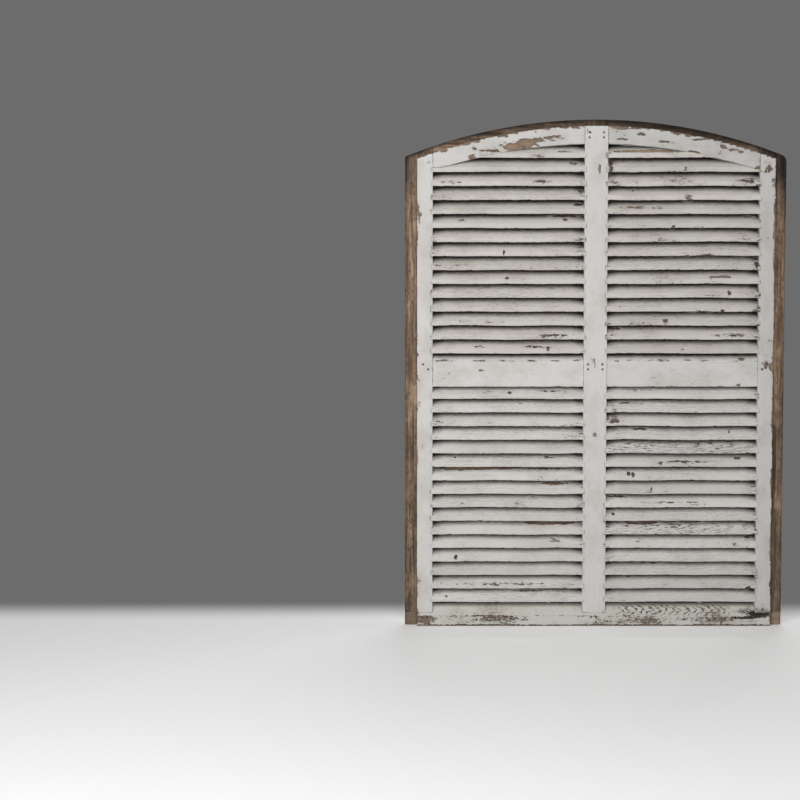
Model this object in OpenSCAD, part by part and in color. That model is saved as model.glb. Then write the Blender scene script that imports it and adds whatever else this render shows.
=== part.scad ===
// Arched louvred window shutter, one panel of painted softwood.
// Three stiles, a two-part arched rail, two middle rails and a bottom rail carry two bays
// of fixed sloping slats. A rebate along the sides and the arch leaves a bare lip behind
// the painted front face.
// The front looks towards -Y, and the origin is at the middle of the bottom edge.

/* [Frame] */
// Clear width of each bay between the stiles
bay_w = 442; // [300:1:560]
// Width of the centre stile
centre_w = 68; // [56:1:100]
// Width of a side stile's painted front face
face_w = 46; // [44:1:80]
// Width of the bare lip outside the painted face
lip_w = 35; // [12:1:60]
// Thickness of the frame
thick = 42; // [40:1:60]
// Depth of the rebate in front of the lip
rebate_d = 20; // [8:1:28]

/* [Arch] */
// Height of the panel at the crown of the arch
crown_h = 1486; // [1460:1:1900]
// Radius of the arched top
arch_r = 1500; // [1300:10:2600]
// Height of the arched rail, measured upright
arch_rail_h = 72; // [64:1:96]
// Width of the bare lip along the arch
arch_lip_w = 20; // [8:1:28]
// Length of the flat under the outer end of the left arched rail
flat_end = 29; // [10:1:60]
// Radius of the worn top corner of the right stile
worn_r = 22; // [6:1:30]

/* [Rails] */
// Height of the bottom rail's front face
bottom_face_h = 39; // [32:1:70]
// Height of the middle rails' lower front edge
mid_z = 707; // [600:1:780]
// Height of the middle rails' front face
mid_face_h = 75; // [66:1:120]
// Depth to which the sloping rail edges run back from the front
splay_d = 28; // [16:1:34]

/* [Slats] */
// Number of slat rows above the middle rails
upper_count = 15; // [10:1:16]
// Number of slat rows below the middle rails
lower_count = 16; // [10:1:17]
// Thickness of a slat
slat_t = 10.6; // [7:0.1:12]
// Depth of a slat from its planed front edge to its back edge
slat_d = 38; // [30:1:39]
// Slope of the slats and of the rail edges
slat_tilt = 45; // [35:1:48]
// Rise from the middle rails' front edge to the lowest upper slat
upper_foot_gap = 21.5; // [18:0.5:34]
// Drop from the arch's lower edge at the crown to the highest upper slat
upper_head_gap = 42; // [36:0.5:60]
// Rise from the bottom rail's front edge to the lowest lower slat
lower_foot_gap = 31.5; // [18:0.5:40]
// Drop from the middle rails' lower edge to the highest lower slat
lower_head_gap = 36.5; // [30:0.5:50]
// Depth of the slat housings in the stiles' edges
house_d = 5; // [3:0.5:8]

/* [Joints] */
// Thickness of the tenons
tenon_t = 12; // [8:1:14]
// Length of the tenons that enter the side stiles
side_tenon_l = 38; // [20:1:39]
// Length of the tenons that enter the centre stile
centre_tenon_l = 26; // [14:1:27]
// Length of the stile tenons that enter the bottom rail
foot_tenon_l = 26; // [14:1:28]
// Step from a tenon's edge to the edge of its board
tenon_step = 5; // [3:0.5:8]
// Clearance around tenons, slat ends, nails and the trimmed slats
fit_gap = 0.25; // [0.15:0.05:0.4]

/* [Nails] */
// Diameter of the nail shanks
nail_d = 2.8; // [2:0.1:3.4]
// Length of the nails under the head
nail_l = 32; // [28:1:36]
// Diameter of the nail heads
nail_head_d = 5.2; // [4:0.1:7]
// Thickness of the nail heads
nail_head_t = 1.2; // [0.8:0.1:2]
// Depth of the nail heads below the painted face
nail_set = 0.4; // [0.2:0.1:1]
// Distance from a joint line to its nearest nail
nail_edge = 13; // [9:0.5:15]
// Distance between the two nails of a joint
nail_step = 15; // [8:0.5:16]

/* [Latch hole] */
// Diameter of the old latch hole in the centre stile
latch_d = 11.5; // [6:0.5:20]
// Depth of the latch hole
latch_depth = 6; // [3:0.5:12]
// Height of the latch hole
latch_z = 566; // [480:1:590]

/* [Hidden] */
$fn = 48;
arch_fn = 360;
past = 1;

white_paint = "#d3cfc9";
slat_paint = "#cbc7bf";
old_iron = "#3a332e";

front = -thick / 2;
back = thick / 2;
rebate_y = front + rebate_d;

centre_x = centre_w / 2;
inner_x = centre_x + bay_w;
face_x = inner_x + face_w;
outer_x = face_x + lip_w;

mid_top = mid_z + mid_face_h;
slope = tan(slat_tilt);
splay_rise = splay_d * slope;

// Height of an arc of radius r about (0, cz) at the place x
function arc_z(cz, r, x) = cz + sqrt(r * r - x * x);
arch_cz = crown_h - arch_r;
under_cz = arch_cz - arch_rail_h;
face_arch_r = arch_r - arch_lip_w;
crown_under = crown_h - arch_rail_h;
flat_z = arc_z(under_cz, arch_r, inner_x - flat_end);

// Upright height of a slat's planed front edge
nose_h = slat_t / cos(slat_tilt);

// Heights of the slats' lower front edges, from the top row down
upper_base = mid_top + upper_foot_gap;
upper_pitch = (crown_under - upper_head_gap - upper_base) / (upper_count - 1);
upper_z = [for (i = [1:upper_count]) upper_base + (upper_count - i) * upper_pitch];
lower_base = bottom_face_h + lower_foot_gap;
lower_pitch = (mid_z - lower_head_gap - lower_base) / (lower_count - 1);
lower_z = [for (i = [1:lower_count]) lower_base + (lower_count - i) * lower_pitch];

// Lower and upper ends of the tenons, as heights
tenon_front = thick / 2 - tenon_t / 2;
tenon_back = thick / 2 + tenon_t / 2;
mid_tenon = [
    mid_z + min(tenon_back, splay_d) * slope + tenon_step,
    mid_top + min(tenon_front, splay_d) * slope - tenon_step
];
arch_side_tenon = [
    flat_z + tenon_step,
    arc_z(arch_cz, face_arch_r, inner_x + side_tenon_l) - tenon_step
];
arch_centre_tenon = [
    crown_under + tenon_step,
    arc_z(arch_cz, face_arch_r, centre_x) - tenon_step
];
foot_z = bottom_face_h - foot_tenon_l;

// Nail places on the front, as [x, z]: two through each tenon
mid_nail_z = (mid_tenon[0] + mid_tenon[1]) / 2;
arch_side_nail_z = (arch_side_tenon[0] + arch_side_tenon[1]) / 2;
arch_centre_nail_z = (arch_centre_tenon[0] + arch_centre_tenon[1]) / 2;
foot_nail_z = (foot_z + bottom_face_h) / 2;
half_step = nail_step / 2;
right_nails = [
    [inner_x + nail_edge, mid_nail_z - half_step],
    [inner_x + nail_edge + nail_step, mid_nail_z + half_step],
    [inner_x + nail_edge, arch_side_nail_z],
    [inner_x + nail_edge + nail_step, arch_side_nail_z],
    [inner_x + face_w / 2 - half_step, foot_nail_z],
    [inner_x + face_w / 2 + half_step, foot_nail_z],
    [centre_x - nail_edge, mid_nail_z - half_step],
    [centre_x - nail_edge, mid_nail_z + half_step],
    [centre_x - nail_edge, arch_centre_nail_z - half_step],
    [centre_x - nail_edge, arch_centre_nail_z + half_step],
    [half_step, foot_nail_z]
];
nail_spots = concat(right_nails, [for (p = right_nails) [-p.x, p.y]]);

// Two-figure row number for a name
function row_name(zone, i) = str(zone, "_slats_", i < 10 ? "0" : "", i);
upper_names = [for (i = [1:upper_count]) row_name("upper", i)];
lower_names = [for (i = [1:lower_count]) row_name("lower", i)];

// Pushes a (y, z) outline along X from x0 to x1
module along_x(x0, x1)
    translate([x0, 0, 0]) rotate([90, 0, 90]) linear_extrude(x1 - x0) children();

// Pushes an (x, z) outline along Y from y0 to y1
module along_y(y0, y1)
    translate([0, y1, 0]) rotate([90, 0, 0]) linear_extrude(y1 - y0) children();

// A box between two corners
module box(low, high)
    translate(low) cube(high - low);

// Disc that bounds an arc, for outlines
module arc_disc(cz, r)
    translate([0, cz]) circle(r = r, $fn = arch_fn);

// Outline of the space under the arched rails, kept back by a gap
module under_arch(gap) {
    arc_disc(under_cz, arch_r - gap);
    translate([-inner_x - house_d, 0]) square([flat_end + house_d, flat_z - gap]);
}

// Outline of everything outside the painted front face
module rebate_outline() {
    difference() {
        translate([-outer_x - past, -past]) square([2 * (outer_x + past), crown_h + 2 * past]);
        intersection() {
            arc_disc(arch_cz, face_arch_r);
            translate([-face_x, -2 * past]) square([2 * face_x, crown_h + 4 * past]);
        }
    }
}

// The rebate itself, cut from the front back to the lip
module rebate_cut()
    along_y(front - past, rebate_y) rebate_outline();

// Section of a slat whose lower front edge is at z, grown by a gap, starting at the place y0
function slat_section(z, gap, y0) = let(
    c = cos(slat_tilt),
    s = sin(slat_tilt),
    low = z - gap / c,
    high = z + nose_h + gap / c,
    rise = (y0 - front) * slope,
    deep = slat_d + gap * (c + s),
    tall = slat_t + 2 * gap
) [
    [y0, low + rise],
    [front + deep, low + deep * slope],
    [front + deep - tall * s, low + deep * slope + tall * c],
    [y0, high + rise]
];

// True if a slat at z is high enough to need trimming under the arch
function meets_arch(z) =
    z + nose_h + slat_d * slope > arc_z(under_cz, arch_r, inner_x + house_d);

// A slat-shaped bar from x0 to x1, trimmed to the arch where it reaches it
module slat_bar(z, x0, x1, gap, y0, arch_gap) {
    if (meets_arch(z))
        intersection() {
            along_x(x0, x1) polygon(slat_section(z, gap, y0));
            along_y(front - 2 * past, back + past) under_arch(arch_gap);
        }
    else
        along_x(x0, x1) polygon(slat_section(z, gap, y0));
}

// One row of slats: a slat in the left bay and one in the right
module slat_row(z) {
    reach = house_d - fit_gap;
    slat_bar(z, -inner_x - reach, -centre_x + reach, 0, front, fit_gap);
    slat_bar(z, centre_x - reach, inner_x + reach, 0, front, fit_gap);
}

// Housings for all the slat ends that enter a stile between x0 and x1
module slat_housings(x0, x1)
    for (z = concat(upper_z, lower_z)) slat_bar(z, x0, x1, fit_gap, front - past, 0);

// Tenon block between x0 and x1 and between the heights of a span, grown by a gap
module tenon(x0, x1, span, gap = 0)
    box([x0 - gap, -tenon_t / 2 - gap, span[0] - gap], [x1 + gap, tenon_t / 2 + gap, span[1] + gap]);

// Tenon on the foot of a stile that stands between x0 and x1
module foot_tenon(x0, x1, gap = 0)
    tenon(x0 + tenon_step, x1 - tenon_step, [foot_z, bottom_face_h], gap);

// One nail, driven back from the front face
module nail(spot, gap = 0) {
    head_y = front + nail_set;
    translate([spot.x, head_y, spot.y]) rotate([-90, 0, 0]) {
        cylinder(d = nail_head_d + 2 * gap, h = nail_head_t + gap);
        cylinder(d = nail_d + 2 * gap, h = nail_head_t + nail_l + gap);
    }
}

// The nail places between x0 and x1, and those in the bottom rail
function spots_between(x0, x1) = [for (p = nail_spots) if (p.x > x0 && p.x < x1) p];
bottom_spots = [for (p = nail_spots) if (p.y < bottom_face_h) p];

// Nail holes at a list of places, open to the front
module nail_holes(spots)
    for (spot = spots) {
        nail(spot, fit_gap);
        translate([spot.x, front - past, spot.y]) rotate([-90, 0, 0])
            cylinder(d = nail_head_d + 2 * fit_gap, h = nail_set + 2 * past);
    }

// Board between x0 and x1 that stands on the bottom rail and ends at the arched top
module upright_board(x0, x1)
    along_y(front, back) intersection() {
        arc_disc(arch_cz, arch_r);
        translate([x0, bottom_face_h]) square([x1 - x0, crown_h]);
    }

// Sockets in a right-hand side stile for the tenons of its rails
module side_sockets() {
    tenon(inner_x - past, inner_x + side_tenon_l, mid_tenon, fit_gap);
    tenon(inner_x - past, inner_x + side_tenon_l, arch_side_tenon, fit_gap);
}

module left_stile() color(white_paint)
    difference() {
        union() {
            upright_board(-outer_x, -inner_x);
            foot_tenon(-face_x, -inner_x);
        }
        rebate_cut();
        slat_housings(-inner_x - house_d, -inner_x + past);
        mirror([1, 0, 0]) side_sockets();
        nail_holes(spots_between(-face_x, -inner_x));
    }

// What is worn away from the top corner of the right stile
module worn_corner() {
    corner_x = outer_x - worn_r;
    corner_z = arc_z(arch_cz, arch_r - worn_r, corner_x);
    lean = asin(corner_x / (arch_r - worn_r));
    along_y(front - past, back + past) difference() {
        polygon([
            [corner_x, corner_z],
            [corner_x + 2 * worn_r, corner_z],
            [corner_x + 2 * worn_r, corner_z + 2 * worn_r],
            [corner_x + 2 * worn_r * sin(lean), corner_z + 2 * worn_r * cos(lean)]
        ]);
        translate([corner_x, corner_z]) circle(r = worn_r);
    }
}

module right_stile() color(white_paint)
    difference() {
        union() {
            upright_board(inner_x, outer_x);
            foot_tenon(inner_x, face_x);
        }
        rebate_cut();
        slat_housings(inner_x - past, inner_x + house_d);
        side_sockets();
        nail_holes(spots_between(inner_x, face_x));
        worn_corner();
    }

// Sockets in the centre stile for the tenons of the right-hand rails
module centre_sockets() {
    tenon(centre_x - centre_tenon_l, centre_x + past, mid_tenon, fit_gap);
    tenon(centre_x - centre_tenon_l, centre_x + past, arch_centre_tenon, fit_gap);
}

module centre_stile() color(white_paint)
    difference() {
        union() {
            upright_board(-centre_x, centre_x);
            foot_tenon(-centre_x, centre_x);
        }
        rebate_cut();
        slat_housings(-centre_x - past, -centre_x + house_d);
        slat_housings(centre_x - house_d, centre_x + past);
        centre_sockets();
        mirror([1, 0, 0]) centre_sockets();
        nail_holes(spots_between(-centre_x, centre_x));
        translate([0, front - past, latch_z]) rotate([-90, 0, 0])
            cylinder(d = latch_d, h = latch_depth + past);
    }

// The two tenons of a right-hand rail, drilled for their nails
module rail_tenons(centre_span, side_span)
    difference() {
        union() {
            tenon(centre_x - centre_tenon_l, centre_x + past, centre_span);
            tenon(inner_x - past, inner_x + side_tenon_l, side_span);
        }
        nail_holes(spots_between(0, face_x));
    }

// Body of an arched rail that fills the bay between x0 and x1
module arch_board(x0, x1)
    difference() {
        along_y(front, back) difference() {
            intersection() {
                arc_disc(arch_cz, arch_r);
                translate([x0, 0]) square([x1 - x0, crown_h]);
            }
            under_arch(0);
        }
        rebate_cut();
    }

module left_arch_rail() color(white_paint) {
    arch_board(-inner_x, -centre_x);
    mirror([1, 0, 0]) rail_tenons(arch_centre_tenon, arch_side_tenon);
}

module right_arch_rail() color(white_paint) {
    arch_board(centre_x, inner_x);
    rail_tenons(arch_centre_tenon, arch_side_tenon);
}

// Right-hand middle rail, its upper and lower edges sloping like the slats
module mid_rail_shape() {
    along_x(centre_x, inner_x) polygon([
        [front, mid_z],
        [front + splay_d, mid_z + splay_rise],
        [back, mid_z + splay_rise],
        [back, mid_top + splay_rise],
        [front + splay_d, mid_top + splay_rise],
        [front, mid_top]
    ]);
    rail_tenons(mid_tenon, mid_tenon);
}

module left_mid_rail() color(white_paint)
    mirror([1, 0, 0]) mid_rail_shape();

module right_mid_rail() color(white_paint)
    mid_rail_shape();

// Sloping upper part of the bottom rail in the right-hand bay
module bottom_rail_rise()
    along_x(centre_x, inner_x) polygon([
        [front, bottom_face_h],
        [front + splay_d, bottom_face_h + splay_rise],
        [back, bottom_face_h + splay_rise],
        [back, foot_z],
        [front, foot_z]
    ]);

module bottom_rail() color(white_paint)
    difference() {
        union() {
            box([-outer_x, front, 0], [outer_x, back, bottom_face_h]);
            bottom_rail_rise();
            mirror([1, 0, 0]) bottom_rail_rise();
        }
        rebate_cut();
        foot_tenon(-face_x, -inner_x, fit_gap);
        foot_tenon(-centre_x, centre_x, fit_gap);
        foot_tenon(inner_x, face_x, fit_gap);
        nail_holes(bottom_spots);
    }

module joint_nails() color(old_iron)
    for (spot = nail_spots) nail(spot);

module upper_slats(i) color(slat_paint) slat_row(upper_z[i]);

module lower_slats(i) color(slat_paint) slat_row(lower_z[i]);

left_stile();
right_stile();
centre_stile();
left_arch_rail();
right_arch_rail();
left_mid_rail();
right_mid_rail();
bottom_rail();
joint_nails();
for (i = [0:upper_count - 1])
    upper_slats(i);
for (i = [0:lower_count - 1])
    lower_slats(i);
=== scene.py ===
import math
import random

import bpy
import numpy as np
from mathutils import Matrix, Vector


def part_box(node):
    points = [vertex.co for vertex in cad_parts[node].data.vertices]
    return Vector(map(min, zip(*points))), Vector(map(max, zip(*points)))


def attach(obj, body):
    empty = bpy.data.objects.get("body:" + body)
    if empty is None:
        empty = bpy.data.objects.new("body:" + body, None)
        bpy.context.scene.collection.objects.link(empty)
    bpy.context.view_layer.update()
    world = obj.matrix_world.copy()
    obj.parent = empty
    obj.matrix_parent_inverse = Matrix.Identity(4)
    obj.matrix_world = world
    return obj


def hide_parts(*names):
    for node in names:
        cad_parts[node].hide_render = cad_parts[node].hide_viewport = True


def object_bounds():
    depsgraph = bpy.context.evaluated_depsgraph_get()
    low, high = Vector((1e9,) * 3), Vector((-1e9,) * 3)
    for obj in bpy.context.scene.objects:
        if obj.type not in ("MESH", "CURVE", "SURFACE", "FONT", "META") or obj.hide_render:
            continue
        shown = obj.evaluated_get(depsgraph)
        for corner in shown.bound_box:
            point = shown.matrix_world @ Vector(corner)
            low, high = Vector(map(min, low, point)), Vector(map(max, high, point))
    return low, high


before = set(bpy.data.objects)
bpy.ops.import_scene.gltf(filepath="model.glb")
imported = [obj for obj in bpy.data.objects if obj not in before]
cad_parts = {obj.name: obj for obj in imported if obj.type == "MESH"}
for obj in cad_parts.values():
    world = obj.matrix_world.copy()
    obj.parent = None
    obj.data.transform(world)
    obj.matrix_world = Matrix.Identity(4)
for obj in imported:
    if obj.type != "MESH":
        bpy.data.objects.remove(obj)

cad_low, cad_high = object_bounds()

# Stiles
# Three upright softwood boards that carry everything else. The outer two have a rebate along
# their outer front edge, so a bare lip stands back behind the painted face. Slanted housings
# cut into their edges take the slat ends.
front_y = cad_low.y
outer_x = cad_high.x
crown_z = cad_high.z
lip_width = 0.035
face_x = outer_x - lip_width
arch_radius = 1.500
arch_lip = 0.020
arch_centre_z = crown_z - arch_radius
hair = 0.0004
merge_distance = 1e-6
flat_angle = math.radians(0.5)
sharp_angle = math.radians(30)
smooth_angle = math.radians(40)
board_step = 0.006
face_depth = 0.016
GRAIN_X = 0
GRAIN_Z = 2


def pick_up(piece):
    """Makes a piece the only selected and active one."""
    bpy.ops.object.select_all(action="DESELECT")
    piece.select_set(True)
    bpy.context.view_layer.objects.active = piece


def board_from(node, name):
    """A copy of a solid as one piece of wood: corners merged, flat faces whole again."""
    piece = bpy.data.objects.new(name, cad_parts[node].data.copy())
    bpy.context.scene.collection.objects.link(piece)
    pick_up(piece)
    bpy.ops.object.mode_set(mode="EDIT")
    bpy.ops.mesh.select_all(action="SELECT")
    bpy.ops.mesh.remove_doubles(threshold=merge_distance)
    bpy.ops.mesh.customdata_custom_splitnormals_clear()
    bpy.ops.mesh.dissolve_limited(angle_limit=flat_angle)
    bpy.ops.object.mode_set(mode="OBJECT")
    piece.data.materials.clear()
    return piece


def coordinates(piece):
    """The corners of a piece as rows of x, y, z."""
    points = np.zeros(len(piece.data.vertices) * 3)
    piece.data.vertices.foreach_get("co", points)
    return points.reshape(-1, 3)


def saw_lines(piece, axis, spacing):
    """Cuts a piece across one axis at even steps, so that its faces can take wear."""
    pick_up(piece)
    points = coordinates(piece)
    low = points[:, axis].min()
    steps = max(1, round((points[:, axis].max() - low) / spacing))
    across = [0.0, 0.0, 0.0]
    across[axis] = 1.0
    bpy.ops.object.mode_set(mode="EDIT")
    for step in range(1, steps):
        bpy.ops.mesh.select_all(action="SELECT")
        place = [0.0, 0.0, 0.0]
        place[axis] = low + spacing * step
        bpy.ops.mesh.bisect(plane_co=place, plane_no=across, threshold=merge_distance)
    bpy.ops.object.mode_set(mode="OBJECT")


def find_arrises(piece):
    """Puts the corners on sharp edges into the group 'arris', and says which they are."""
    pick_up(piece)
    piece.vertex_groups.new(name="arris")
    bpy.ops.object.mode_set(mode="EDIT")
    bpy.ops.mesh.select_mode(type="EDGE")
    bpy.ops.mesh.select_all(action="DESELECT")
    bpy.ops.mesh.edges_select_sharp(sharpness=sharp_angle)
    bpy.ops.object.vertex_group_assign()
    bpy.ops.object.mode_set(mode="OBJECT")
    sharp = np.zeros(len(piece.data.vertices), dtype=bool)
    piece.data.vertices.foreach_get("select", sharp)
    return sharp


def displace(piece, name, size, strength, middle, group, direction, contrast, brightness):
    """Moves a piece's surface by cloudy noise of the given size, within a vertex group."""
    clouds = bpy.data.textures.new(name, "CLOUDS")
    clouds.noise_scale = size
    clouds.noise_depth = 2
    clouds.contrast = contrast
    clouds.intensity = brightness
    clouds.use_clamp = True
    move = piece.modifiers.new(name, "DISPLACE")
    move.texture = clouds
    move.texture_coords = "LOCAL"
    move.mid_level = middle
    move.strength = strength
    move.direction = direction
    move.vertex_group = group
    pick_up(piece)
    bpy.ops.object.modifier_apply(modifier=move.name)


def rub_edges(piece, group, direction, depth, size):
    """Rubs a group of edges down unevenly, and bites a few deeper nicks out of them."""
    displace(piece, "rubbed", size, depth, 0.0, group, direction, contrast=1.5, brightness=1.0)
    nick_size = 1.7 * size
    nick_depth = 1.8 * depth
    displace(piece, "bitten", nick_size, nick_depth, 0.0, group, direction, contrast=4.0, brightness=0.10)


def keep_inside(piece):
    """Presses back any corner that came to stand proud of the front or the back."""
    points = coordinates(piece)
    points[:, 1] = np.clip(points[:, 1], front_y, cad_high.y)
    piece.data.vertices.foreach_set("co", points.ravel())
    piece.data.update()


def ramp(values, low, high):
    """0 below low, 1 above high and even between."""
    return np.clip((values - low) / (high - low), 0.0, 1.0)


def soft_step(values, low, high):
    """0 below low, 1 above high and smooth between."""
    share = ramp(values, low, high)
    return share * share * (3.0 - 2.0 * share)


def face_to_corner(piece, face_values):
    """Spreads one value for each face to the corners, as the mean of the faces that meet there."""
    mesh = piece.data
    total = np.zeros(len(mesh.vertices))
    count = np.zeros(len(mesh.vertices))
    corner = np.zeros(len(mesh.loops), dtype=int)
    mesh.loops.foreach_get("vertex_index", corner)
    sizes = np.zeros(len(mesh.polygons), dtype=int)
    mesh.polygons.foreach_get("loop_total", sizes)
    owner = np.repeat(np.arange(len(mesh.polygons)), sizes)
    np.add.at(total, corner, face_values[owner])
    np.add.at(count, corner, 1.0)
    return total / np.maximum(count, 1.0)


def lip_faces(piece):
    """Which faces of a frame board were never painted: the lip, its step and its outer edges."""
    mesh = piece.data
    centres = np.zeros(len(mesh.polygons) * 3)
    mesh.polygons.foreach_get("center", centres)
    centres = centres.reshape(-1, 3)
    behind_front = (centres[:, 1] > front_y + hair) & (centres[:, 1] < cad_high.y - hair)
    beyond_sides = np.abs(centres[:, 0]) > face_x - hair
    radius = np.hypot(centres[:, 0], centres[:, 2] - arch_centre_z)
    beyond_arch = radius > arch_radius - arch_lip - hair
    return (behind_front & (beyond_sides | beyond_arch)).astype(float)


right_side_x = (-0.2, outer_x)
arch_rise_z = (1.05, 1.42)
crown_rise_z = (1.40, 1.47)
damp_foot_z = (0.72, 0.54)
top_corner_x = (0.46, 0.54)
top_corner_z = (1.24, 1.34)
outer_dirt_width = (0.010, 0.001)
darkest_lip = 0.12


def lip_tone_and_painted_shade(points):
    """The bare lip's tone: palest beside the painted step, darkest along the arch, and darker on the right
    as painted shade.
    """
    reach = np.abs(points[:, 0])
    radius = np.hypot(points[:, 0], points[:, 2] - arch_centre_z)
    outward = np.maximum((reach - face_x) / lip_width, (radius - arch_radius) / arch_lip + 1.0)
    to_edge = np.minimum(outer_x - reach, arch_radius - radius)
    rightward = soft_step(points[:, 0], *right_side_x)
    upward = soft_step(points[:, 2], *arch_rise_z)
    crown = soft_step(points[:, 2], *crown_rise_z)
    footward = soft_step(points[:, 2], *damp_foot_z)
    corner = soft_step(reach, *top_corner_x) * soft_step(points[:, 2], *top_corner_z)
    beside_step = 0.50 * (1.0 - np.clip(outward, 0.0, 1.0)) * (1.0 - footward)
    damp = 0.24 * footward * (1.0 - rightward)
    darker_up_arch = (0.50 + 0.30 * rightward) * upward + 0.42 * crown
    dirt = 0.30 * soft_step(to_edge, *outer_dirt_width) + 0.40 * corner
    # The rightward terms are painted shade: the right-hand lip stands in the shadow of the proud stile,
    # with the lamp to the left.
    shade = 1.10 - 0.06 * rightward + beside_step - damp - darker_up_arch - dirt
    return np.maximum(shade, darkest_lip)


mark_reach = 1.6


def patches(points, marks, depth):
    """Soft oval fields near the front: a mark is x, z, half width, half height and strength."""
    field = np.zeros(len(points))
    in_front = points[:, 1] < front_y + depth
    for x, z, half_x, half_z, strength in marks:
        away = np.hypot((points[:, 0] - x) / half_x, (points[:, 2] - z) / half_z)
        field = np.maximum(field, strength * np.clip(mark_reach - away, 0.0, 1.0) * in_front)
    return field


def note(piece, name, values):
    """Keeps a value for each corner of a piece for its material to read, over any kept before."""
    if name not in piece.data.attributes:
        piece.data.attributes.new(name, "FLOAT", "POINT")
    piece.data.attributes[name].data.foreach_set("value", values.astype(np.float32))


def put(tree, kind, values, **settings):
    """Adds a shader node. A value that is a socket is linked, any other is set on the node."""
    made = tree.nodes.new("ShaderNode" + kind)
    for key, value in settings.items():
        setattr(made, key, value)
    for key, value in values.items():
        if isinstance(value, bpy.types.NodeSocket):
            tree.links.new(value, made.inputs[key])
        else:
            made.inputs[key].default_value = value
    return made


def read(tree, name):
    """The value that note() kept under a name, as a socket."""
    return put(tree, "Attribute", {}, attribute_name=name).outputs["Fac"]


def times(tree, first, second):
    """first x second, as a socket."""
    return put(tree, "Math", {0: first, 1: second}, operation="MULTIPLY").outputs[0]


def plus(tree, first, second, factor):
    """first + second x factor, as a socket."""
    return put(tree, "Math", {0: second, 1: factor, 2: first}, operation="MULTIPLY_ADD").outputs[0]


def step_up(tree, value, low, high):
    """0 at low, 1 at high and smooth between, as a socket."""
    return put(tree, "MapRange", {"Value": value, "From Min": low, "From Max": high},
               interpolation_type="SMOOTHSTEP").outputs[0]


def blend(tree, factor, first, second):
    """A colour between two colours, as a socket."""
    return put(tree, "Mix", {0: factor, 6: first, 7: second}, data_type="RGBA").outputs[2]


def noise(tree, place, grain, along, across, detail):
    """Noise drawn out along the grain axis, with the two frequencies given per metre."""
    scale = [across, across, across]
    scale[grain] = along
    stretched = put(tree, "Mapping", {"Vector": place, "Scale": scale}).outputs[0]
    settings = {"Vector": stretched, "Scale": 1.0, "Detail": detail, "Roughness": 0.62}
    return put(tree, "TexNoise", settings).outputs[0]


dirty_line = (0.20, 0.17, 0.13, 1.0)
dark_crack = (0.075, 0.058, 0.045, 1.0)
chip_edge_shadow = (0.055, 0.042, 0.032, 1.0)
shade_and_grime_black = (0.014, 0.011, 0.008, 1.0)
pale_new_wood = (0.440, 0.325, 0.230, 1.0)
dark_new_wood = (0.260, 0.180, 0.125, 1.0)


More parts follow.
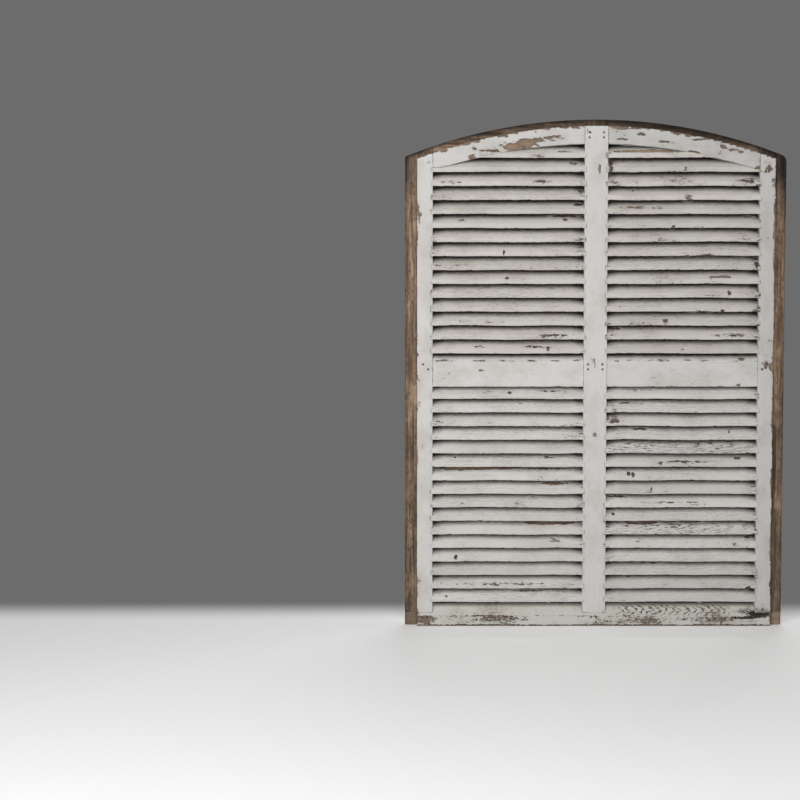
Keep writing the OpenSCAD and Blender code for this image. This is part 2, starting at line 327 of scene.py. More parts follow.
def old_paint(name, grain, coat, dull_coat, timber, flake_along, flake_across):
    """Chipped paint over softwood: 'bare' thins it, 'fresh' shows newer wood, and the darkening attribute
    carries stains and painted shade.
    """
    material = bpy.data.materials.new(name)
    material.use_nodes = True
    tree = material.node_tree
    shader = tree.nodes["Principled BSDF"]
    place = put(tree, "TexCoord", {}).outputs["Object"]
    flakes = noise(tree, place, grain, flake_along, flake_across, detail=5)
    fibres = noise(tree, place, grain, along=9, across=700, detail=3)
    streaks = noise(tree, place, grain, along=5, across=150, detail=4)
    blotch = noise(tree, place, grain, along=9, across=14, detail=4)
    clouds = noise(tree, place, grain, along=3, across=6, detail=3)
    specks = noise(tree, place, grain, along=130, across=380, detail=2)
    ring_wobble = noise(tree, place, grain, along=22, across=90, detail=2)

    thin = plus(tree, flakes, read(tree, "bare"), 0.80)
    thin = plus(tree, thin, blotch, 0.80)
    thin = plus(tree, thin, fibres, 0.30)
    flaked = step_up(tree, thin, 1.37, 1.43)
    # A thin ring at the edge of every chip, for painted shadow of the paint's edge.
    chip_edge_ring = times(tree, step_up(tree, thin, 1.34, 1.39), step_up(tree, thin, 1.48, 1.41))
    pits = plus(tree, specks, blotch, 0.30)
    pitted = step_up(tree, plus(tree, pits, read(tree, "bare"), 0.25), 0.86, 0.90)
    chipped = put(tree, "Math", {0: flaked, 1: pitted}, operation="MAXIMUM").outputs[0]

    ring_place = plus(tree, read(tree, "rings"), ring_wobble, 2.2)
    ring_gap = put(tree, "Math", {0: ring_place, 1: 0.5}, operation="PINGPONG").outputs[0]
    ring_line = step_up(tree, ring_gap, 0.20, 0.05)
    ring_line = times(tree, ring_line, step_up(tree, flakes, 0.38, 0.54))
    cracked = times(tree, ring_line, read(tree, "grainy"))

    worn_coat = blend(tree, step_up(tree, blotch, 0.40, 0.70), coat, dull_coat)
    fine_lines = times(tree, step_up(tree, fibres, 0.56, 0.72), 0.10)
    lines = plus(tree, fine_lines, step_up(tree, streaks, 0.55, 0.75), 0.10)
    lined_coat = blend(tree, lines, worn_coat, dirty_line)
    cracked_coat = blend(tree, cracked, lined_coat, dark_crack)

    growth = plus(tree, times(tree, streaks, 0.6), fibres, 0.4)
    dark, middling, pale = timber
    wood = put(tree, "ValToRGB", {"Fac": growth})
    tints = wood.color_ramp.elements
    tints[0].position = 0.41
    tints[0].color = dark
    tints[1].position = 0.62
    tints[1].color = pale
    tints.new(0.50).color = middling
    aged = blend(tree, times(tree, step_up(tree, clouds, 0.40, 0.66), 0.55), wood.outputs[0], dark)
    mottled = blend(tree, times(tree, step_up(tree, flakes, 0.46, 0.62), 0.60), aged, dark)
    scraped = blend(tree, times(tree, step_up(tree, blotch, 0.50, 0.66), 0.50), mottled, pale)
    fresh_grain = step_up(tree, plus(tree, streaks, flakes, 0.5), 0.62, 0.88)
    fresh_wood = blend(tree, fresh_grain, pale_new_wood, dark_new_wood)
    lately_bared = blend(tree, read(tree, "fresh"), scraped, fresh_wood)

    surface = blend(tree, chipped, cracked_coat, lately_bared)
    # Painted shadow: the chip edges are darkened.
    edge_shadowed = blend(tree, times(tree, chip_edge_ring, 0.60), surface, chip_edge_shadow)
    # Stains, rot and painted shade in the gaps all darken the colour towards near-black here.
    uneven = plus(tree, read(tree, "grime_and_shade"), flakes, 0.5)
    shade_and_grime = put(tree, "MapRange", {"Value": uneven, "From Min": 0.33, "From Max": 1.17}).outputs[0]
    colour = blend(tree, shade_and_grime, edge_shadowed, shade_and_grime_black)
    # The colour is scaled by 'tone': random tone on the slats, and dirt and painted shade on the frame.
    toned = put(tree, "VectorMath", {0: colour, "Scale": read(tree, "tone")}, operation="SCALE")
    tree.links.new(toned.outputs[0], shader.inputs["Base Color"])
    rough = put(tree, "MapRange", {"Value": chipped, "To Min": 0.58, "To Max": 0.88}).outputs[0]
    tree.links.new(rough, shader.inputs["Roughness"])
    shader.inputs["Specular IOR Level"].default_value = 0.30
    height = plus(tree, times(tree, fibres, 0.40), streaks, 0.40)
    height = plus(tree, height, chipped, -0.80)
    height = plus(tree, height, cracked, -0.50)
    relief = put(tree, "Bump", {"Height": height, "Strength": 0.6, "Distance": 0.0014})
    tree.links.new(relief.outputs[0], shader.inputs["Normal"])
    return material


edge_wear = -0.0015
edge_wear_size = 0.014
lip_bareness = 0.85
edge_bareness = 0.14
fresh_share = 0.62
# Painted shade: the frame's coat is made a little darker towards the top.
upper_painted_shade = 0.06
upper_painted_shade_z = (0.80, 1.30)


def age_board(node, paint, marks, worn, coat_dirt_and_shade):
    """Wears one board of the frame, and notes where its paint is gone and how dark it is, from dirt and
    painted shade.
    """
    board = board_from(node, node + "_board")
    for axis in range(3):
        saw_lines(board, axis, board_step)
    sharp = find_arrises(board)
    rub_edges(board, "arris", "NORMAL", edge_wear, edge_wear_size)
    keep_inside(board)
    lip = face_to_corner(board, lip_faces(board))
    points = coordinates(board)
    peeled = patches(points, marks, face_depth)
    bare = np.maximum(lip_bareness * lip + worn + edge_bareness * sharp, peeled)
    note(board, "bare", np.clip(bare, 0.0, 1.0))
    coat_tone_and_shade = coat_dirt_and_shade * (1.0 - upper_painted_shade * soft_step(points[:, 2], *upper_painted_shade_z))
    note(board, "tone", coat_tone_and_shade + (lip_tone_and_painted_shade(points) - coat_tone_and_shade) * lip)
    note(board, "fresh", fresh_share * peeled)
    pick_up(board)
    bpy.ops.object.shade_smooth_by_angle(angle=smooth_angle)
    board.data.materials.append(paint)
    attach(board, "root")
    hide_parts(node)
    return board


frame_coat = (0.636, 0.618, 0.598, 1.0)
frame_dull_coat = (0.552, 0.530, 0.505, 1.0)
brown_timber = ((0.066, 0.044, 0.030, 1.0), (0.192, 0.127, 0.083, 1.0), (0.380, 0.272, 0.188, 1.0))
frame_flakes = (60, 130)
stile_paint = old_paint("stile paint", GRAIN_Z, frame_coat, frame_dull_coat, brown_timber, *frame_flakes)
left_stile_marks = [(-0.513, 1.208, 0.004, 0.006, 1.0), (-0.520, 0.046, 0.004, 0.007, 0.8)]
centre_stile_marks = [
    (0.010, 1.345, 0.003, 0.018, 0.6),
    (-0.028, 1.455, 0.004, 0.012, 0.6),
    (-0.018, 1.445, 0.003, 0.005, 0.7),
    (-0.005, 0.780, 0.010, 0.015, 0.35),
]
right_stile_marks = [
    (0.519, 0.420, 0.003, 0.080, 0.36),
    (0.519, 0.250, 0.003, 0.060, 0.32),
    (0.520, 0.765, 0.012, 0.012, 0.75),
    (0.498, 0.770, 0.010, 0.014, 0.50),
    (0.508, 1.344, 0.016, 0.011, 0.50),
    (0.492, 1.334, 0.010, 0.004, 0.56),
    (0.515, 1.306, 0.005, 0.020, 0.54),
    (0.516, 1.262, 0.003, 0.018, 0.48),
    (0.498, 0.050, 0.028, 0.010, 0.44),
]
side_chance = random.Random(3)


def side_chips(side, count):
    """Small upright chips along the outer edge of a stile's painted face, where it meets the lip."""
    chips = []
    for _ in range(count):
        x = side * (face_x - side_chance.uniform(0.000, 0.005))
        z = side_chance.uniform(0.06, 1.32)
        half_z = side_chance.uniform(0.005, 0.030)
        chips.append((x, z, side_chance.uniform(0.002, 0.004), half_z, side_chance.uniform(0.25, 0.52)))
    return chips


left_stile_marks += side_chips(-1, 30)
right_stile_marks += side_chips(1, 24)
# The coat darkening given to each board is dirt, and painted shade that is strongest on the right-hand
# boards, away from the lamp.
age_board("left_stile", stile_paint, left_stile_marks, worn=0.02, coat_dirt_and_shade=0.975)
centre_stile = age_board("centre_stile", stile_paint, centre_stile_marks, worn=0.02, coat_dirt_and_shade=0.98)
hole_z = 0.566
hole_radius = 0.00575
hole_depth = 0.006
# The hole is darkened inside as painted shade.
hole_shade = 0.55
hole_points = coordinates(centre_stile)
in_hole = np.hypot(hole_points[:, 0], hole_points[:, 2] - hole_z) < hole_radius + 2.0 * hair
in_hole &= np.abs(hole_points[:, 1] - front_y - hole_depth) < 0.5 * hole_depth
note(centre_stile, "grime_and_shade", hole_shade * in_hole)
right_stile = age_board("right_stile", stile_paint, right_stile_marks, worn=0.07, coat_dirt_and_shade=0.87)
damp_marks = [(0.500, 0.040, 0.026, 0.010, 0.55), (0.494, 0.056, 0.020, 0.016, 0.16)]
damp_foot = patches(coordinates(right_stile), damp_marks, face_depth)
note(right_stile, "grime_and_shade", damp_foot)

# Middle rails and bottom rail
# Flat boards tenoned between the stiles, and a bottom rail under all three. Their top edges
# slope like the slats, to shed water. The bottom rail stood wet: its paint is crazed, the
# raised grain shows as arrowheads on the right, and one end has begun to rot.
rail_paint = old_paint("rail paint", GRAIN_X, frame_coat, frame_dull_coat, brown_timber, *frame_flakes)
left_mid_marks = [
    (-0.430, 0.783, 0.032, 0.003, 0.42),
    (-0.345, 0.783, 0.040, 0.003, 0.44),
    (-0.270, 0.784, 0.020, 0.003, 0.36),
    (-0.180, 0.783, 0.024, 0.003, 0.48),
    (-0.115, 0.783, 0.030, 0.003, 0.46),
    (-0.055, 0.784, 0.014, 0.003, 0.52),
    (-0.334, 0.756, 0.006, 0.005, 0.52),
    (-0.155, 0.758, 0.010, 0.003, 0.46),
]
right_mid_marks = [
    (0.110, 0.785, 0.020, 0.003, 0.45),
    (0.185, 0.784, 0.030, 0.003, 0.60),
    (0.265, 0.785, 0.020, 0.003, 0.55),
    (0.430, 0.788, 0.012, 0.003, 0.60),
    (0.220, 0.770, 0.008, 0.003, 0.60),
    (0.225, 0.752, 0.004, 0.003, 0.70),
    (0.420, 0.712, 0.004, 0.005, 0.80),
    (0.062, 0.783, 0.020, 0.003, 0.44),
    (0.330, 0.784, 0.030, 0.003, 0.46),
]
bottom_marks = [
    (0.000, 0.000, 0.900, 0.004, 0.75),
    (-0.495, 0.020, 0.030, 0.014, 0.62),
    (0.490, 0.036, 0.036, 0.010, 0.85),
    (0.448, 0.044, 0.034, 0.008, 0.52),
    (0.462, 0.062, 0.012, 0.014, 0.50),
    (0.450, 0.026, 0.060, 0.003, 0.80),
    (-0.250, 0.020, 0.160, 0.006, 0.37),
    (-0.080, 0.030, 0.120, 0.005, 0.43),
    (-0.330, 0.030, 0.130, 0.005, 0.44),
    (0.150, 0.014, 0.180, 0.008, 0.28),
    (0.330, 0.020, 0.140, 0.008, 0.34),
    (0.070, 0.030, 0.050, 0.006, 0.32),
]
slope_band = 0.003


def slope_shade(points, crest_z, first, full):
    """Painted shade on a rail's sloping top edge, darkest far back, under the slat above."""
    into_gap = points[:, 1] - front_y
    on_slope = np.abs(points[:, 2] - crest_z - into_gap) < slope_band
    return ramp(into_gap, first, full) * on_slope


mid_crest_z = 0.782
left_mid = age_board("left_mid_rail", rail_paint, left_mid_marks, worn=0.02, coat_dirt_and_shade=1.00)
right_mid = age_board("right_mid_rail", rail_paint, right_mid_marks, worn=0.06, coat_dirt_and_shade=0.96)
# Painted shade on the mid rails' sloping tops, under the lowest slats.
for mid_rail in (left_mid, right_mid):
    note(mid_rail, "grime_and_shade", slope_shade(coordinates(mid_rail), mid_crest_z, first=0.004, full=0.019))

wet_coat = (0.610, 0.590, 0.545, 1.0)
wet_dull_coat = (0.500, 0.480, 0.420, 1.0)
grey_timber = ((0.045, 0.034, 0.026, 1.0), (0.105, 0.076, 0.055, 1.0), (0.230, 0.165, 0.115, 1.0))
fine_flakes = (130, 360)
bottom_paint = old_paint("bottom rail paint", GRAIN_X, wet_coat, wet_dull_coat, grey_timber, *fine_flakes)
bottom = age_board("bottom_rail", bottom_paint, bottom_marks, worn=0.23, coat_dirt_and_shade=0.95)
bottom_points = coordinates(bottom)
# The paint is a little sounder above the wet lower edge.
sounder_share = 0.13
sounder_z = (0.022, 0.044)
bottom_bare = np.zeros(len(bottom_points))
bottom.data.attributes["bare"].data.foreach_get("value", bottom_bare)
bottom_bare -= sounder_share * soft_step(bottom_points[:, 2], *sounder_z)
note(bottom, "bare", np.maximum(bottom_bare, 0.0))

arrow_pitch = 0.022
arrow_lean = 1.6
arrow_z = 0.046
arrow_start_x = (0.05, 0.10)
arrow_end_x = (0.42, 0.36)
arrow_band = (0.016, 0.008)
arrow_depth = 0.030
arrow_boldness = 2.0
from_middle = np.abs(bottom_points[:, 2] - arrow_z)
arrow_share = soft_step(bottom_points[:, 0], *arrow_start_x) * soft_step(bottom_points[:, 0], *arrow_end_x)
arrow_share *= soft_step(from_middle, *arrow_band)
arrow_share *= bottom_points[:, 1] < front_y + arrow_depth
note(bottom, "rings", (bottom_points[:, 0] + arrow_lean * from_middle) / arrow_pitch)
note(bottom, "grainy", arrow_boldness * arrow_share)

rot_marks = [
    (0.488, 0.037, 0.030, 0.009, 0.72),
    (0.448, 0.043, 0.030, 0.006, 0.34),
    (0.462, 0.062, 0.010, 0.012, 0.34),
    (0.440, 0.024, 0.040, 0.003, 0.60),
    (-0.520, 0.040, 0.005, 0.012, 0.70),
]
rot = patches(bottom_points, rot_marks, face_depth)
bottom_crest_z = 0.039
# The bottom rail darkens with its rot, and with painted shade on its sloping top.
bottom_slope_shade = slope_shade(bottom_points, bottom_crest_z, first=0.012, full=0.030)
note(bottom, "grime_and_shade", np.maximum(rot, bottom_slope_shade))

split_marks = [(-0.500, 0.020, 0.030, 0.016, 0.55)]
left_end_fresh = 0.45
right_end_fresh = 0.70
rail_end = soft_step(np.abs(bottom_points[:, 0]), face_x - 0.002, face_x + 0.004)
end_fresh = np.where(bottom_points[:, 0] > 0.0, right_end_fresh, left_end_fresh) * rail_end
note(bottom, "fresh", np.maximum(end_fresh, patches(bottom_points, split_marks, face_depth)))

# Arched rails
# Two curved boards sawn from plank, tenoned between the stiles. The rebate runs on along
# their top, and the paint has peeled off them in long patches.
left_arch_marks = [
    (-0.244, 1.405, 0.022, 0.010, 0.95),
    (-0.205, 1.416, 0.026, 0.012, 0.95),
    (-0.172, 1.425, 0.018, 0.008, 0.62),
    (-0.130, 1.431, 0.034, 0.007, 0.46),
    (-0.220, 1.412, 0.060, 0.018, 0.42),
    (-0.364, 1.376, 0.013, 0.006, 0.80),
    (-0.312, 1.394, 0.026, 0.004, 0.52),
    (-0.356, 1.400, 0.005, 0.004, 0.70),
    (-0.180, 1.446, 0.004, 0.003, 0.80),
]
right_arch_marks = [
    (0.130, 1.441, 0.014, 0.006, 0.55),
    (0.075, 1.425, 0.020, 0.004, 0.40),
    (0.198, 1.421, 0.018, 0.004, 0.60),
    (0.300, 1.425, 0.026, 0.004, 0.60),
    (0.370, 1.405, 0.012, 0.004, 0.66),
    (0.396, 1.397, 0.013, 0.004, 0.66),
    (0.418, 1.390, 0.008, 0.003, 0.60),
    (0.283, 1.388, 0.016, 0.005, 0.70),
    (0.470, 1.345, 0.012, 0.006, 0.55),
]
chance = random.Random(7)


def edge_chips(start_x, end_x, count):
    """Small chips along the upper edge of the painted arch, where it meets the lip."""
    chips = []
    for _ in range(count):
        x = chance.uniform(start_x, end_x)
        edge_z = arch_centre_z + math.sqrt((arch_radius - arch_lip) ** 2 - x * x)
        place_z = edge_z - chance.uniform(0.0, 0.005)
        half_x = chance.uniform(0.005, 0.020)
        half_z = chance.uniform(0.002, 0.005)
        chips.append((x, place_z, half_x, half_z, chance.uniform(0.3, 0.8)))
    return chips


chip_count = 26
arch_start_x = 0.04
arch_end_x = 0.47
sound_edge_x = 0.33
left_arch_marks += edge_chips(-arch_end_x, -arch_start_x, chip_count)
right_chips = edge_chips(arch_start_x, arch_end_x, chip_count)
right_arch_marks += [chip for chip in right_chips if chip[0] < sound_edge_x]
left_arch = age_board("left_arch_rail", rail_paint, left_arch_marks, worn=0.05, coat_dirt_and_shade=0.95)
stain_marks = [(-0.356, 1.400, 0.006, 0.005, 0.70), (-0.310, 1.395, 0.026, 0.004, 0.50)]
note(left_arch, "grime_and_shade", patches(coordinates(left_arch), stain_marks, face_depth))
age_board("right_arch_rail", rail_paint, right_arch_marks, worn=0.09, coat_dirt_and_shade=0.86)

# Slats
# Thin softwood boards, one in each bay of a row, let into the stiles at a slope. Their front
# edges are planed upright and flush with the frame. Every one has warped a little, and painted
# shade darkens the top of each slat, deep under the slat above.
inner_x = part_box("right_stile")[0].x
centre_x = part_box("centre_stile")[1].x
DEPTH_Y = 1
nose_height = 0.015
nose_depth = 0.004
nose_rounding = 0.0018
slat_step = 0.004
slat_depth = 0.034
upper_coat = (0.594, 0.564, 0.530, 1.0)
upper_dull_coat = (0.518, 0.484, 0.448, 1.0)
lower_coat = (0.640, 0.620, 0.590, 1.0)
lower_dull_coat = (0.562, 0.538, 0.504, 1.0)
slat_flakes = (70, 260)
upper_paint = old_paint("upper slat paint", GRAIN_X, upper_coat, upper_dull_coat, grey_timber, *slat_flakes)
lower_paint = old_paint("lower slat paint", GRAIN_X, lower_coat, lower_dull_coat, grey_timber, *slat_flakes)
slat_marks = [
    (0.042, 1.348, 0.006, 0.018, 0.55),
    (0.085, 1.338, 0.030, 0.005, 0.40),
    (0.260, 1.340, 0.006, 0.005, 0.75),
    (0.440, 1.310, 0.030, 0.008, 0.44),
    (0.108, 1.281, 0.003, 0.003, 0.90),
    (0.270, 1.256, 0.013, 0.011, 0.47),
    (0.150, 1.230, 0.100, 0.004, 0.38),
    (0.450, 1.203, 0.016, 0.004, 0.55),
    (0.224, 1.170, 0.006, 0.003, 0.70),
    (0.300, 1.172, 0.024, 0.003, 0.46),
    (0.290, 1.088, 0.070, 0.004, 0.37),
    (0.440, 1.086, 0.030, 0.003, 0.58),
    (0.330, 1.058, 0.070, 0.003, 0.38),
    (0.390, 0.983, 0.006, 0.005, 0.60),
    (0.070, 0.941, 0.003, 0.003, 0.80),
    (0.370, 0.928, 0.006, 0.003, 0.80),
    (0.310, 0.925, 0.034, 0.003, 0.48),
    (0.203, 0.895, 0.011, 0.009, 0.52),
    (0.065, 0.876, 0.018, 0.003, 0.55),
    (0.380, 0.858, 0.055, 0.006, 0.46),
    (0.254, 0.813, 0.007, 0.005, 0.70),
    (0.470, 1.065, 0.006, 0.007, 0.80),
    (-0.095, 1.392, 0.030, 0.004, 0.45),
    (-0.066, 1.358, 0.014, 0.005, 0.55),
    (-0.400, 1.354, 0.022, 0.005, 0.35),
    (-0.045, 1.276, 0.008, 0.006, 0.50),
    (-0.300, 0.896, 0.130, 0.004, 0.33),
    (-0.120, 0.893, 0.055, 0.004, 0.40),
    (-0.110, 0.858, 0.045, 0.003, 0.52),
    (-0.337, 0.824, 0.026, 0.004, 0.42),
    (-0.180, 0.824, 0.040, 0.004, 0.42),
    (-0.139, 0.820, 0.003, 0.008, 0.60),
    (-0.250, 0.689, 0.006, 0.004, 0.75),
    (-0.150, 0.695, 0.070, 0.003, 0.44),
    (-0.210, 0.657, 0.028, 0.003, 0.46),
    (-0.110, 0.594, 0.065, 0.004, 0.42),
    (-0.410, 0.499, 0.005, 0.003, 0.60),
    (-0.143, 0.499, 0.038, 0.003, 0.46),
    (-0.425, 1.304, 0.040, 0.006, 0.46),
    (-0.160, 1.304, 0.026, 0.006, 0.40),
    (-0.052, 1.238, 0.014, 0.006, 0.60),
    (-0.090, 1.206, 0.045, 0.003, 0.70),
    (-0.090, 1.194, 0.010, 0.003, 0.70),
    (-0.394, 1.191, 0.012, 0.006, 0.56),
    (-0.268, 1.101, 0.003, 0.008, 0.70),
    (-0.259, 1.024, 0.005, 0.003, 0.80),
    (-0.448, 0.398, 0.004, 0.003, 0.80),
    (-0.170, 0.380, 0.032, 0.003, 0.42),
    (-0.390, 0.360, 0.014, 0.005, 0.52),
    (-0.305, 0.305, 0.050, 0.003, 0.45),
    (-0.115, 0.254, 0.022, 0.006, 0.42),
    (-0.385, 0.236, 0.006, 0.004, 0.50),
    (-0.407, 0.206, 0.005, 0.004, 0.70),
    (-0.125, 0.160, 0.005, 0.004, 0.65),
    (-0.205, 0.103, 0.075, 0.003, 0.52),
    (-0.250, 0.125, 0.180, 0.006, 0.33),
    (-0.435, 0.088, 0.006, 0.004, 0.55),
    (0.120, 0.696, 0.055, 0.003, 0.40),
    (0.130, 0.657, 0.085, 0.003, 0.42),
    (0.058, 0.606, 0.013, 0.006, 0.52),
    (0.135, 0.581, 0.026, 0.004, 0.70),
    (0.395, 0.575, 0.003, 0.003, 0.80),
    (0.070, 0.383, 0.030, 0.003, 0.75),
    (0.420, 0.497, 0.010, 0.004, 0.75),
    (0.280, 0.487, 0.070, 0.003, 0.44),
    (0.195, 0.484, 0.004, 0.003, 0.70),
    (0.101, 0.451, 0.005, 0.005, 1.00),
    (0.114, 0.449, 0.005, 0.005, 1.00),
    (0.166, 0.407, 0.002, 0.006, 0.80),
    (0.056, 0.332, 0.004, 0.004, 1.00),
    (0.290, 0.307, 0.040, 0.003, 0.50),
    (0.250, 0.366, 0.110, 0.003, 0.36),
    (0.360, 0.330, 0.008, 0.004, 0.50),
    (0.455, 0.264, 0.010, 0.004, 0.60),
    (0.128, 0.250, 0.006, 0.003, 0.55),
    (0.170, 0.185, 0.032, 0.003, 0.50),
    (0.104, 0.146, 0.011, 0.003, 0.75),
    (0.254, 0.118, 0.006, 0.003, 0.60),
    (0.455, 0.110, 0.008, 0.004, 0.65),
]
bared_strips = [
    (0.145, 1.391, 0.085, 0.006, 0.95),
    (0.365, 1.027, 0.040, 0.004, 0.70),
    (-0.345, 0.468, 0.115, 0.006, 0.95),
    (-0.140, 0.467, 0.080, 0.004, 0.55),
    (-0.120, 0.422, 0.034, 0.004, 0.80),
    (-0.120, 0.305, 0.075, 0.005, 0.85),
    (0.140, 0.306, 0.050, 0.005, 0.95),
]
flame_grain = {
    ("upper_slats_11", -1): (-0.240, 0.110, 0.55),
    ("lower_slats_05", 1): (0.200, 0.260, 1.00),
    ("lower_slats_11", 1): (0.140, 0.220, 1.00),
}
trimmed_nodes = ("upper_slats_01", "upper_slats_02")
plain_node = "lower_slats_16"
long_edge = 0.1


def shape_row(row):
    """Rounds the long edges of the planed fronts, and cuts the row finely enough to warp."""
    pick_up(row)
    points = coordinates(row)
    bpy.ops.object.mode_set(mode="EDIT")
    bpy.ops.mesh.select_mode(type="EDGE")
    bpy.ops.mesh.select_all(action="DESELECT")
    bpy.ops.object.mode_set(mode="OBJECT")
    for edge in row.data.edges:
        first, second = points[edge.vertices[0]], points[edge.vertices[1]]
        along = abs(first[0] - second[0]) > long_edge
        edge.select = bool(along and max(first[1], second[1]) < front_y + hair)
    bpy.ops.object.mode_set(mode="EDIT")
    bpy.ops.mesh.bevel(offset=nose_rounding, segments=3, affect="EDGES")
    bpy.ops.object.mode_set(mode="OBJECT")
    saw_lines(row, GRAIN_X, slat_step)
    saw_lines(row, DEPTH_Y, slat_step)


def end_distance(points):
    """How far each corner of a slat is from the nearer stile, below 0 inside its housing."""
    reach = np.abs(points[:, 0])
    return np.minimum(reach - centre_x, inner_x - reach)


held_length = 0.050
warp_size = 0.20
warp_height = 0.005


def warp(row):
    """Bends a row of slats up and down between the stiles, and leaves the ends in their housings."""
    free = np.clip(end_distance(coordinates(row)) / held_length, 0.0, 1.0)
    group = row.vertex_groups.new(name="free length")
    tenths = np.round(free * 10).astype(int)
    for tenth in range(1, 11):
        group.add(np.flatnonzero(tenths == tenth).tolist(), tenth / 10, "REPLACE")
    displace(row, "warp", warp_size, warp_height, 0.5, "free length", "Z", contrast=1.0, brightness=1.0)


ring_pitch = 0.006
flame_length = 0.055
flame_pitch = 0.0045
flame_height = 0.026


def slat_grain(points, node):
    """The growth rings that show through the paint, and how strongly: boldest on a few slats."""
    height = points[:, 2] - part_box(node)[0].z
    rings = height / ring_pitch
    grainy = np.zeros(len(points))
    for side in (-1, 1):
        on_side = points[:, 0] * side > 0.0
        faint = chance.uniform(0.0, 0.35)
        lean = chance.uniform(-4.0, 4.0)
        rings = np.where(on_side, rings + lean * points[:, 0], rings)
        grainy = np.where(on_side, faint, grainy)
        if (node, side) in flame_grain:
            heart, spread, boldness = flame_grain[(node, side)]
            away = np.abs(points[:, 0] - heart)
            flame = np.hypot(away / flame_length, (height - flame_height) / flame_pitch)
            rings = np.where(on_side, flame, rings)
            fading = 1.0 - 0.6 * soft_step(away, 0.5 * spread, 1.5 * spread)
            grainy = np.where(on_side, boldness * fading, grainy)
    return rings, grainy


end_reach = 0.035
# Painted shade in the gaps between slats: where it starts and is full, reaching further out by the
# housings.
end_shade_reach = 0.006
gap_shade_depth = (0.007, 0.0245)
gap_shade_strength = 0.96
lower_edge_band = 0.003
lower_edge_wear = 0.0009
lower_edge_wear_size = 0.008


def age_row(row, node, paint, freshness):
    """Warps and wears one row of slats, and notes its thin paint, painted shade and grain."""
    flat = coordinates(row)
    into_gap = flat[:, 1] - front_y
    height = flat[:, 2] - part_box(node)[0].z
    on_top = np.abs(height - nose_height - into_gap) < slope_band
    near_end = np.clip(1.0 - end_distance(flat) / end_reach, 0.0, 1.0)
    shows = on_top | (into_gap < nose_depth)
    strips = patches(flat, bared_strips, slat_depth) * (on_top & (into_gap > nose_depth))
    marked = np.maximum(strips, patches(flat, slat_marks, slat_depth) * shows)
    # Painted shade on the top of each slat, darkest deep in the gap and towards the housings, lighter under
    # marks.
    gap_shade = ramp(into_gap + end_shade_reach * near_end, *gap_shade_depth) * on_top * (1.0 - 0.8 * marked)
    lower_edge = row.vertex_groups.new(name="lower edge")
    at_edge = (into_gap < lower_edge_band) & (height < lower_edge_band)
    lower_edge.add(np.flatnonzero(at_edge).tolist(), 1.0, "REPLACE")
    warp(row)
    rub_edges(row, "lower edge", "Z", lower_edge_wear, lower_edge_wear_size)
    keep_inside(row)
    left_wear = chance.uniform(0.00, 0.10)
    right_wear = chance.uniform(0.02, 0.13)
    left_tone = chance.uniform(0.93, 1.03)
    right_tone = chance.uniform(0.91, 1.01)
    rightward = flat[:, 0] > 0.0
    nose = np.clip(1.0 - into_gap / nose_depth, 0.0, 1.0)
    bare = np.where(rightward, right_wear, left_wear) + 0.05 * nose + 0.13 * near_end
    bare = np.maximum(bare, marked)
    rings, grainy = slat_grain(flat, node)
    note(row, "bare", np.clip(bare, 0.0, 1.0))
    note(row, "tone", np.where(rightward, right_tone, left_tone))
    note(row, "grime_and_shade", gap_shade_strength * gap_shade)
    note(row, "fresh", freshness * strips)
    note(row, "rings", rings)
    note(row, "grainy", grainy)
    pick_up(row)
    bpy.ops.object.shade_smooth_by_angle(angle=smooth_angle)
    row.data.materials.append(paint)
    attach(row, "root")
    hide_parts(node)


plain_row = board_from(plain_node, "plain_row")
shape_row(plain_row)
plain_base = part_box(plain_node)[0].z
for node in sorted(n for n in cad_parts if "_slats_" in n):
    if node in trimmed_nodes:
        row = board_from(node, node + "_pair")
        shape_row(row)
    else:
        row = bpy.data.objects.new(node + "_pair", plain_row.data.copy())
        bpy.context.scene.collection.objects.link(row)
        pick_up(row)
        bpy.ops.object.mode_set(mode="EDIT")
        bpy.ops.mesh.select_all(action="SELECT")
        bpy.ops.transform.translate(value=(0.0, 0.0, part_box(node)[0].z - plain_base))
        bpy.ops.object.mode_set(mode="OBJECT")
    if node.startswith("upper"):
        age_row(row, node, upper_paint, freshness=0.9)
    else:
        age_row(row, node, lower_paint, freshness=0.3)
bpy.data.objects.remove(plain_row)

# Nails
# Small iron nails that pin the tenons, set just below the painted faces. Those at the ends
# of the arch have been painted over, and the others have rusted dark.
dark_rust = (0.030, 0.022, 0.018, 1.0)
brown_rust = (0.120, 0.070, 0.045, 1.0)
nail_paint = (0.480, 0.455, 0.420, 1.0)
painted_above_z = (1.30, 1.34)
painted_below_z = (1.40, 1.38)
rust = bpy.data.materials.new("nail rust")
rust.use_nodes = True
rust_tree = rust.node_tree
rust_shader = rust_tree.nodes["Principled BSDF"]
rust_place = put(rust_tree, "TexCoord", {}).outputs["Object"]
rust_spots = noise(rust_tree, rust_place, GRAIN_X, along=300, across=300, detail=4)
rust_colour = blend(rust_tree, rust_spots, dark_rust, brown_rust)
nail_z = put(rust_tree, "SeparateXYZ", {"Vector": rust_place}).outputs["Z"]
above = step_up(rust_tree, nail_z, *painted_above_z)
below = step_up(rust_tree, nail_z, *painted_below_z)
nail_colour = blend(rust_tree, times(rust_tree, above, below), rust_colour, nail_paint)
rust_tree.links.new(nail_colour, rust_shader.inputs["Base Color"])
rust_shader.inputs["Roughness"].default_value = 0.85
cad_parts["joint_nails"].material_slots[0].material = rust

# Studio
# A pale floor that turns to the grey of the backdrop behind the panel, a large soft lamp in
# front and to the left, a weaker one low behind, and a little even light all round.
backdrop = (0.150, 0.150, 0.151, 1.0)
floor_white = (0.85, 0.85, 0.85, 1.0)
floor_glow = 0.13
floor_size = 40.0
floor_drop = 0.0005
fade_behind_y = (0.05, 0.40)
sky_white = (1.0, 0.99, 0.97, 1.0)
sky_strength = 0.12


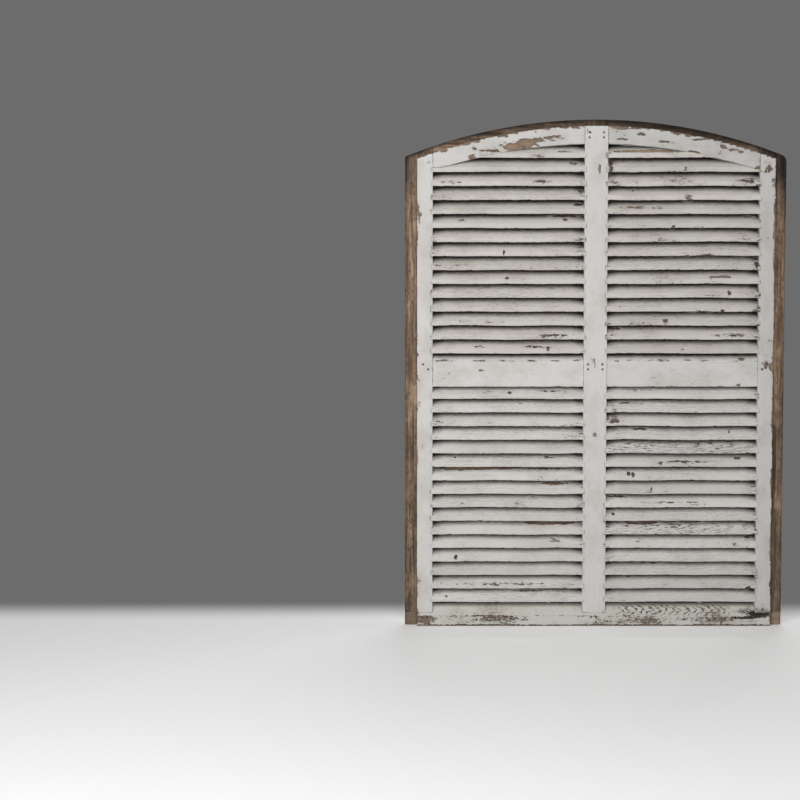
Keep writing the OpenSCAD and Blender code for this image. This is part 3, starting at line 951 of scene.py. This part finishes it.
def seen_or_mirrored(tree):
    """1 for what is seen, straight, in a gloss or through glass, and 0 for the light that falls."""
    path = put(tree, "LightPath", {})
    direct = path.outputs["Is Camera Ray"]
    mirrored = plus(tree, path.outputs["Is Glossy Ray"], path.outputs["Is Transmission Ray"], 1.0)
    return put(tree, "Math", {0: direct, 1: mirrored}, operation="MAXIMUM").outputs[0]


bpy.ops.object.select_all(action="DESELECT")
bpy.ops.mesh.primitive_plane_add(size=floor_size, location=(0.0, 0.0, -floor_drop))
floor = bpy.context.object
floor.name = "floor"
floor_paint = bpy.data.materials.new("studio floor")
floor_paint.use_nodes = True
floor_tree = floor_paint.node_tree
floor_shader = floor_tree.nodes["Principled BSDF"]
floor_shader.inputs["Base Color"].default_value = floor_white
floor_shader.inputs["Roughness"].default_value = 0.9
floor_shader.inputs["Emission Color"].default_value = (1.0, 1.0, 1.0, 1.0)
seen = seen_or_mirrored(floor_tree)
floor_tree.links.new(times(floor_tree, seen, floor_glow), floor_shader.inputs["Emission Strength"])
floor_place = put(floor_tree, "TexCoord", {}).outputs["Object"]
floor_y = put(floor_tree, "SeparateXYZ", {"Vector": floor_place}).outputs["Y"]
faded = times(floor_tree, step_up(floor_tree, floor_y, *fade_behind_y), seen)
glow = put(floor_tree, "Emission", {"Color": backdrop, "Strength": 1.0})
floor_mix = put(floor_tree, "MixShader", {0: faded, 1: floor_shader.outputs[0], 2: glow.outputs[0]})
floor_tree.links.new(floor_mix.outputs[0], floor_tree.nodes["Material Output"].inputs["Surface"])
floor.data.materials.append(floor_paint)

world = bpy.data.worlds.new("studio")
bpy.context.scene.world = world
world.use_nodes = True
world_tree = world.node_tree
sky = world_tree.nodes["Background"]
sky.inputs["Color"].default_value = sky_white
sky.inputs["Strength"].default_value = sky_strength
wall = put(world_tree, "Background", {"Color": backdrop, "Strength": 1.0})
world_seen = seen_or_mirrored(world_tree)
world_mix = put(world_tree, "MixShader", {0: world_seen, 1: sky.outputs[0], 2: wall.outputs[0]})
world_tree.links.new(world_mix.outputs[0], world_tree.nodes["World Output"].inputs["Surface"])


def soft_lamp(name, place, aim, width, height, power):
    """A large soft lamp that faces a point."""
    bpy.ops.object.light_add(type="AREA", location=place)
    lamp = bpy.context.object
    lamp.name = name
    lamp.data.shape = "RECTANGLE"
    lamp.data.size = width
    lamp.data.size_y = height
    lamp.data.energy = power
    run, side, drop = aim[1] - place[1], aim[0] - place[0], aim[2] - place[2]
    tilt = math.atan2(math.hypot(run, side), -drop)
    lamp.rotation_euler = (tilt, 0.0, math.atan2(-side, run))
    lamp.visible_camera = False


panel_middle = (0.0, 0.0, 0.7)
soft_lamp("front lamp", (-1.2, -3.6, 2.4), panel_middle, width=3.0, height=3.4, power=152.0)
soft_lamp("back lamp", (0.8, 4.0, 0.9), panel_middle, width=3.0, height=1.2, power=125.0)

camera_place = (-0.5716, -4.897, 0.950)
camera_dip = 3.307
camera_turn = (math.radians(90 - camera_dip), 0.0, 0.0)
bpy.ops.object.camera_add(location=camera_place, rotation=camera_turn)
camera = bpy.context.object
camera.data.lens = 75.0
camera.data.sensor_width = 36.0
bpy.context.scene.camera = camera
bpy.context.scene.view_settings.view_transform = "Standard"
